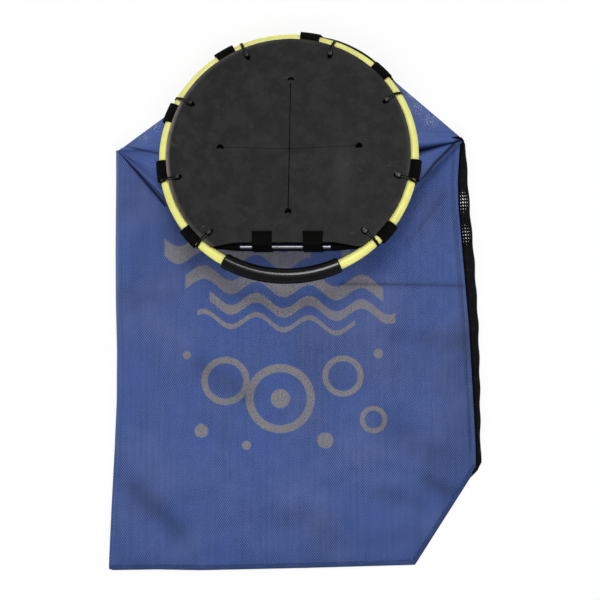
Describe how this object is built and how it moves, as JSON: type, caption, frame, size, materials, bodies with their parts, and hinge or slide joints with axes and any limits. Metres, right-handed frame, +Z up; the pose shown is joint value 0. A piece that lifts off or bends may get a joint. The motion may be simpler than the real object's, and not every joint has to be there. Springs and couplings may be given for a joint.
{
  "type": "dive catch bag",
  "caption": "Flat-laid mesh catch bag with a stiff hooped mouth, a hand grip on the hoop and a slit rubber entry sheet.",
  "frame": {"origin": "on the ground below the middle of the whole outline, hoop included", "axes": "+X across the bag to the net side, +Y along the bag from the bottom hem to the hoop's far rim, +Z up from the ground"},
  "size_m": [0.4641, 0.6665, 0.1172],
  "materials": {
    "blue_coated_mesh": "matte coated mesh cloth",
    "black_net": "open knitted net",
    "black_webbing": "woven webbing",
    "dark_rubber": "matte sheet rubber",
    "yellow_hose": "satin soft plastic",
    "glossy_black_hose": "glossy",
    "black_nylon": "semi-gloss",
    "stainless_steel": "drawn rod"
  },
  "bodies": {
    "bag": {"bag_back": "blue_coated_mesh", "bag_front": "blue_coated_mesh", "bottom_hem": "blue_coated_mesh", "left_edge": "blue_coated_mesh", "side_net": "black_net", "neck_front": "blue_coated_mesh", "neck_left": "blue_coated_mesh", "neck_back": "blue_coated_mesh", "neck_right": "blue_coated_mesh"},
    "hoop": {"hoop_core": "stainless_steel", "hoop_hose": "yellow_hose", "chord_rod": "stainless_steel", "grip_sleeve": "glossy_black_hose", "entry_rubber": "dark_rubber", "mouth_binding": "black_webbing", "cable_tie_1": "black_nylon", "cable_tie_2": "black_nylon", "cable_tie_3": "black_nylon", "cable_tie_4": "black_nylon", "cable_tie_5": "black_nylon", "cable_tie_6": "black_nylon", "cable_tie_7": "black_nylon", "cable_tie_8": "black_nylon", "hoop_tab_1": "black_webbing", "hoop_tab_2": "black_webbing", "hoop_tab_3": "black_webbing", "hoop_tab_4": "black_webbing", "hoop_tab_5": "black_webbing", "hoop_tab_6": "black_webbing", "hoop_tab_7": "black_webbing", "hoop_tab_8": "black_webbing", "chord_tab_left": "black_webbing", "chord_tab_right": "black_webbing"},
    "leaf_far_right": {"entry_leaf_far_right": "dark_rubber"},
    "leaf_far_left": {"entry_leaf_far_left": "dark_rubber"},
    "leaf_near_left": {"entry_leaf_near_left": "dark_rubber"},
    "leaf_near_right": {"entry_leaf_near_right": "dark_rubber"}
  },
  "joints": [
    {"name": "hoop_lift", "type": "hinge", "parent": "bag", "child": "hoop", "pos_m": [-0.04423, 0.32055, 0.02395], "axis": [-0.9715, -0.2368, 0], "range_deg": [0, 35]},
    {"name": "leaf_far_right_bend", "type": "hinge", "parent": "hoop", "child": "leaf_far_right", "pos_m": [0.0347, 0.23253, 0.06349], "axis": [0.693, -0.6807, 0.2376], "range_deg": [-30, 45], "stiffness_Nm_per_rad": 0.2},
    {"name": "leaf_far_left_bend", "type": "hinge", "parent": "hoop", "child": "leaf_far_left", "pos_m": [-0.0496, 0.23248, 0.05775], "axis": [0.718, 0.6815, -0.1417], "range_deg": [-30, 45], "stiffness_Nm_per_rad": 0.2},
    {"name": "leaf_near_left_bend", "type": "hinge", "parent": "hoop", "child": "leaf_near_left", "pos_m": [-0.0511, 0.15109, 0.08042], "axis": [-0.693, 0.6807, -0.2376], "range_deg": [-30, 45], "stiffness_Nm_per_rad": 0.2},
    {"name": "leaf_near_right_bend", "type": "hinge", "parent": "hoop", "child": "leaf_near_right", "pos_m": [0.03321, 0.15114, 0.08615], "axis": [-0.718, -0.6815, 0.1417], "range_deg": [-30, 45], "stiffness_Nm_per_rad": 0.2}
  ]
}
